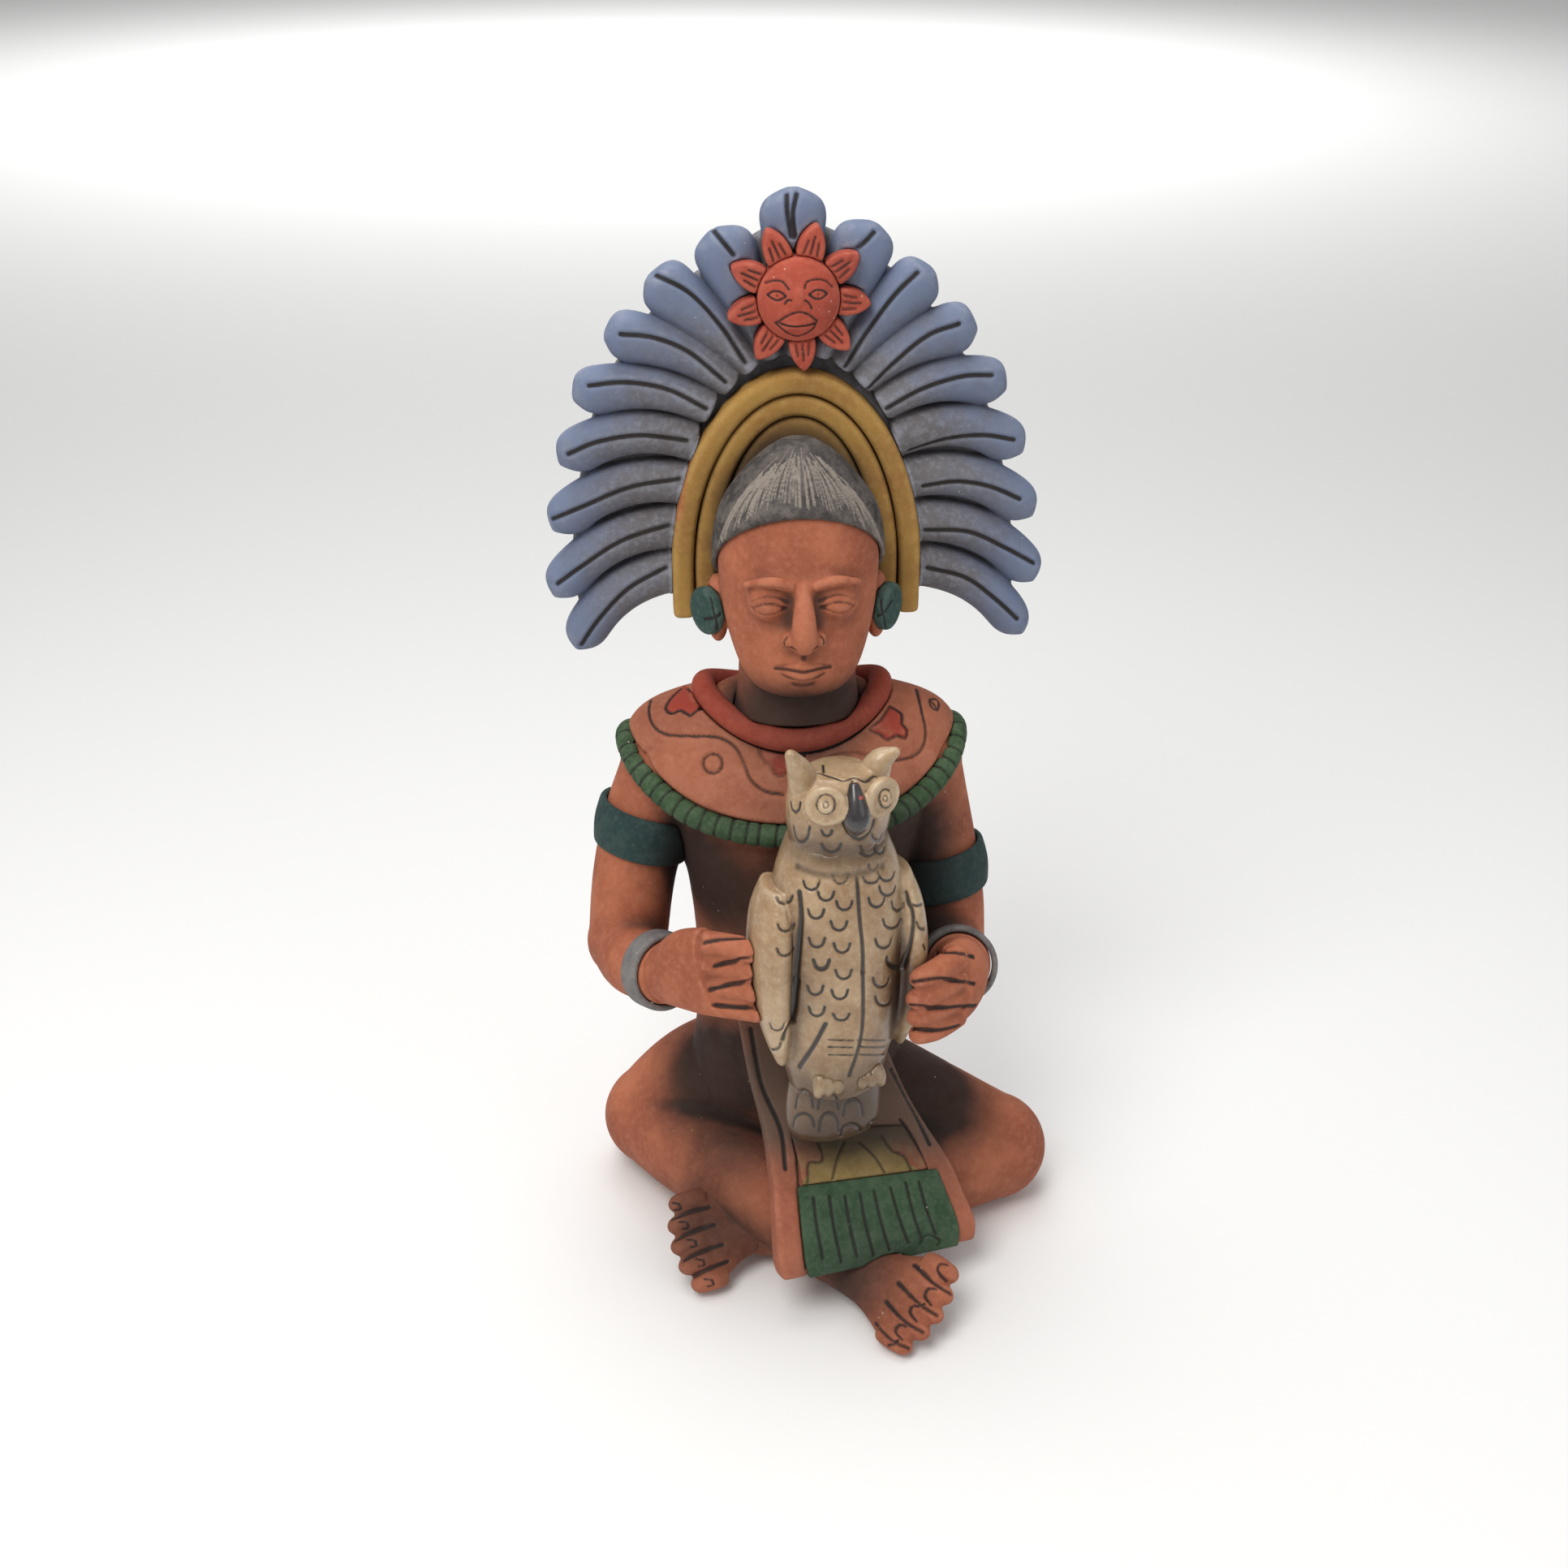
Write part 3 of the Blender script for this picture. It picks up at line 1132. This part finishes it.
MOTIF_OUTLINES = [photo_outline(COLLAR_VIEW, motif) for motif in MOTIFS]


def collar_paint(points):
    """Red inside the three lobed motifs."""
    u, v = pixel_of(points)
    found = np.zeros(len(points))
    for outline in MOTIF_OUTLINES:
        found += inside(u, v, outline)
    return np.minimum(found, 1.0)


ARCH_EDGE = [(828, 640), (832, 590), (843, 540), (860, 498), (885, 466), (912, 446), (918, 455), (894, 478),
             (873, 508), (856, 548), (846, 596), (841, 640)]
BEAK_FLECK = (1061.0, 983.0)
FLECK_RADIUS = 3.0


def arch_paint(points):
    """A rubbed reddish edge on the outer arch."""
    u, v = pixel_of(points)
    return inside(u, v, photo_outline(WHOLE, ARCH_EDGE)) * 0.55


PANEL_OUTLINE = photo_outline(HEM_VIEW, PANEL_LINES[2] + PANEL_LINES[3][::-1])


def panel_paint(points):
    """Bare clay beside the panel's painted middle."""
    u, v = pixel_of(points)
    return 1.0 - inside(u, v, PANEL_OUTLINE)


def beak_paint(points):
    """A small red fleck on the beak."""
    u, v = pixel_of(points)
    return np.clip(2.2 - 2 * np.hypot(u - BEAK_FLECK[0], v - BEAK_FLECK[1]) / FLECK_RADIUS, 0, 1)


MAKERS = {
    "head": make_head, "hair_cap": make_hair, "right_foot": make_right_foot, "left_foot": make_left_foot,
    "sun_disc": make_sun_disc, "sun_rays": make_sun_rays, "collar": make_collar,
    "collar_rim": make_collar_rim, "owl_feet": make_owl_feet, "owl_eyes": make_owl_eyes,
    "apron": make_apron, "apron_panel": make_panel, "apron_fringe": make_fringe,
}
for side in ("right", "left"):
    MAKERS[side + "_hand"] = make_hand
    MAKERS[side + "_ear_spool"] = make_spool
for node in CARRIED + ["owl_ears"]:
    MAKERS[node] = make_owl_part
SKIN_VOXELS = {"torso": 0.9, "neck": 0.6, "right_ear": 0.45, "left_ear": 0.45, "right_arm": 0.62,
               "left_arm": 0.62, "right_leg": 0.72, "left_leg": 0.72}
PAINTS = {"collar": collar_paint, "outer_arch": arch_paint, "owl_beak": beak_paint,
          "apron_panel": panel_paint}
for feather in FEATHERS:
    MAKERS[feather] = make_feather
    PAINTS[feather] = feather_paint

slot_of = {part["node"]: part["material_slot"] for part in frame["record"]["subparts"]}

for node in sorted(frame["nodes"]):
    if node in MAKERS:
        worked = MAKERS[node](node)
    elif node in SKIN_VOXELS:
        worked = make_skin(node, SKIN_VOXELS[node])
    else:
        worked = make_plain(node)
    slot = slot_of[node]
    surface(worked, MATERIALS[slot], PAINTS.get(node))


# Floor, camera and light

FLOOR_REACH = 6.0
FLOOR_COLOUR = (242, 242, 241)
WORLD_LIGHT = 0.42


def make_floor():
    mesh = bpy.data.meshes.new("floor")
    reach = FLOOR_REACH
    mesh.from_pydata([(-reach, -reach, 0), (reach, -reach, 0), (reach, reach, 0), (-reach, reach, 0)], [],
                     [(0, 1, 2, 3)])
    g = Graph("studio_floor")
    g.link(srgb(*FLOOR_COLOUR), g.skin.inputs["Base Color"])
    g.skin.inputs["Roughness"].default_value = 0.85
    mesh.materials.append(g.material)
    floor = bpy.data.objects.new("floor", mesh)
    bpy.context.scene.collection.objects.link(floor)


def make_light(name, place, aim, size, power, colour):
    data = bpy.data.lights.new(name, "AREA")
    data.shape = "DISK"
    data.size = size
    data.energy = power
    data.color = colour
    lamp = bpy.data.objects.new(name, data)
    lamp.location = place
    lamp.rotation_euler = (Vector(aim) - Vector(place)).to_track_quat("-Z", "Y").to_euler()
    bpy.context.scene.collection.objects.link(lamp)
    return data


make_floor()
middle = (0.0, 0.0, 0.2)
make_light("key", (-0.42, -0.6, 1.15), (0.0, 0.0, 0.28), 0.7, 9.5, (1.0, 0.98, 0.95))
make_light("fill", (1.1, -0.9, 0.8), middle, 1.1, 2.5, (0.95, 0.97, 1.0))
make_light("top", (-0.1, 0.25, 1.3), middle, 0.9, 6.5, (1.0, 1.0, 1.0))
far_lamp = make_light("far_floor", (0.0, 3.7, 2.6), (0.0, 3.7, 0.0), 2.4, 42.0, (1.0, 1.0, 1.0))
far_lamp.spread = math.radians(100)
world = bpy.data.worlds.new("studio")
world.use_nodes = True
world.node_tree.nodes["Background"].inputs[0].default_value = (1.0, 1.0, 1.0, 1.0)
world.node_tree.nodes["Background"].inputs[1].default_value = WORLD_LIGHT
bpy.context.scene.world = world

camera_data = bpy.data.cameras.new("photo_camera")
camera_data.sensor_width = SENSOR
camera_data.lens = PHOTO_FOCAL / PHOTO_SIDE * SENSOR
camera_data.clip_end = 20.0
camera = bpy.data.objects.new("photo_camera", camera_data)
camera.location = EYE / MM
camera.rotation_euler = (AIM - EYE).to_track_quat("-Z", "Y").to_euler()
bpy.context.scene.collection.objects.link(camera)
bpy.context.scene.camera = camera
bpy.context.scene.view_settings.view_transform = "Standard"
